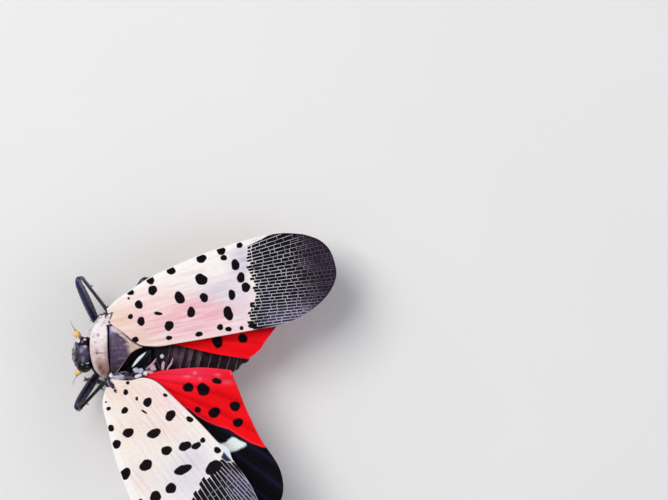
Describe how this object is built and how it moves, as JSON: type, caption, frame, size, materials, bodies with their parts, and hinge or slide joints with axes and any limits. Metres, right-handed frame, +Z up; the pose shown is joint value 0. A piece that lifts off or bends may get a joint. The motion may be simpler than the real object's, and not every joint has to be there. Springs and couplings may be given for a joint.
{
  "type": "spotted lanternfly",
  "caption": "Life-size still model of an adult spotted lanternfly on its feet, forewings parted and red hindwings showing.",
  "frame": {"origin": "middle of the bottom of the model's box, on the floor under the feet", "axes": "-X the way the head points, +Y the insect's right side, +Z up"},
  "size_m": [0.0235, 0.0298, 0.0137],
  "materials": {
    "head": "dark slate cuticle, satin",
    "rostrum": "dark cuticle, satin",
    "eye": "glossy compound eye",
    "antenna": "orange cuticle, satin",
    "pronotum": "pale pinkish cuticle, satin",
    "mesonotum": "dark mauve cuticle, satin",
    "metanotum": "glossy black cuticle",
    "thorax": "black cuticle, satin",
    "abdomen": "dark cuticle with pale bands, satin",
    "forewing": "opaque spotted membrane, matte",
    "hindwing": "scarlet, white and black membrane, satin",
    "leg": "black cuticle, glossy"
  },
  "bodies": {
    "root": {"head": "head", "clypeus": "rostrum", "rostrum": "rostrum", "eye_right": "eye", "eye_left": "eye", "antenna_right": "antenna", "antenna_left": "antenna", "tegula_right": "pronotum", "tegula_left": "pronotum", "pronotum": "pronotum", "mesonotum": "mesonotum", "metanotum": "metanotum", "thorax": "thorax", "abdomen": "abdomen", "abdomen_tip": "abdomen", "forewing_right": "forewing", "forewing_left": "forewing", "hindwing_right": "hindwing", "hindwing_left": "hindwing", "femur_front_right": "leg", "tibia_front_right": "leg", "tarsus_front_right": "leg", "femur_front_left": "leg", "tibia_front_left": "leg", "tarsus_front_left": "leg", "femur_middle_right": "leg", "tibia_middle_right": "leg", "tarsus_middle_right": "leg", "femur_middle_left": "leg", "tibia_middle_left": "leg", "tarsus_middle_left": "leg", "femur_hind_right": "leg", "tibia_hind_right": "leg", "tarsus_hind_right": "leg", "femur_hind_left": "leg", "tibia_hind_left": "leg", "tarsus_hind_left": "leg"}
  },
  "joints": []
}
